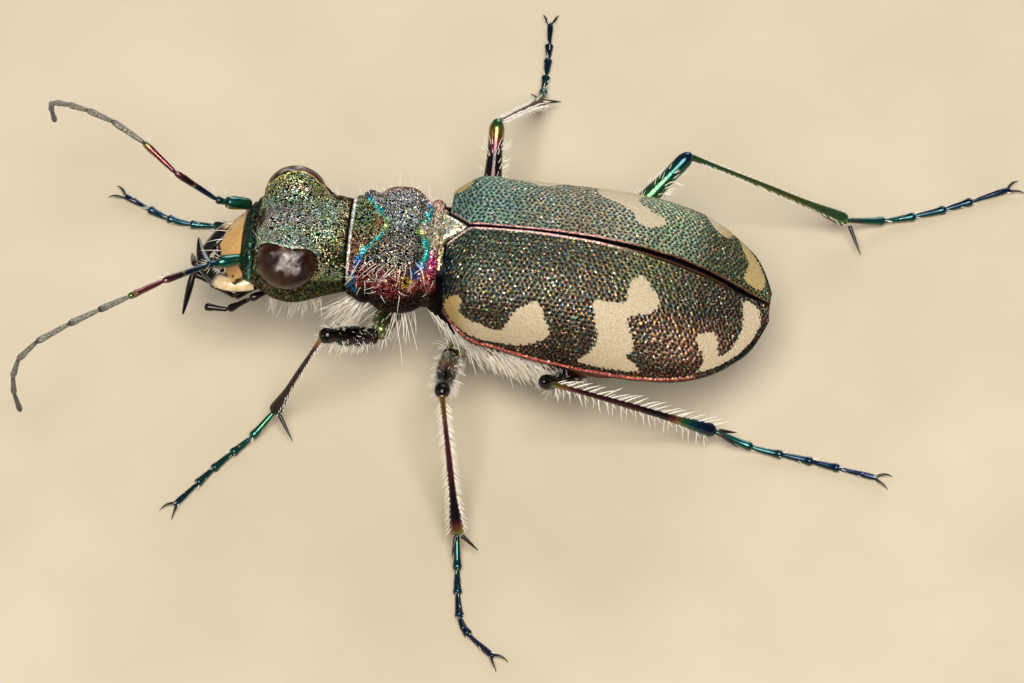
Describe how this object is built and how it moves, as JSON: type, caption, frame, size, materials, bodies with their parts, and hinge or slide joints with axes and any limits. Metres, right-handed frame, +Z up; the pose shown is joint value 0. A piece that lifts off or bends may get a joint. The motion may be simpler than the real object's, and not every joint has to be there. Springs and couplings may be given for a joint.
{
  "type": "tiger beetle",
  "caption": "Life-size still model of a bronze-green tiger beetle with cream-marked wing cases, standing on six long legs with its feelers spread.",
  "frame": {"origin": "on the floor under the middle of the whole animal, feet, feelers and claws included", "axes": "-X is forward, towards the jaws; -Y is the beetle's own left; +Z is up"},
  "size_m": [0.024, 0.0194, 0.0054],
  "materials": {
    "cuticle_bronze": "metallic green-bronze insect cuticle, finely wrinkled",
    "cuticle_copper": "metallic copper and green insect cuticle, finely wrinkled",
    "wing_case": "dark bronze wing case with close pits and granular cream markings",
    "eye_lens": "smooth glossy dark brown compound eye",
    "horn_cream": "smooth cream horn",
    "horn_dark": "hard glossy black horn",
    "feeler": "metallic green joints turning dull grey-brown outwards",
    "leg_cuticle": "metallic copper, violet and green cuticle with white bristles"
  },
  "bodies": {
    "root": {"head": "cuticle_bronze", "thorax": "cuticle_bronze", "abdomen": "cuticle_bronze", "pronotum": "cuticle_copper", "scutellum": "cuticle_copper", "elytron_left": "wing_case", "elytron_right": "wing_case", "eye_left": "eye_lens", "eye_right": "eye_lens", "labrum": "horn_cream", "mandible_left": "horn_dark", "mandible_right": "horn_dark", "palp_maxillary_left": "feeler", "palp_maxillary_right": "feeler", "palp_labial_left": "feeler", "palp_labial_right": "feeler", "antenna_left": "feeler", "antenna_right": "feeler", "leg_front_left": "leg_cuticle", "leg_front_right": "leg_cuticle", "leg_middle_left": "leg_cuticle", "leg_middle_right": "leg_cuticle", "leg_hind_left": "leg_cuticle", "leg_hind_right": "leg_cuticle"}
  },
  "joints": []
}
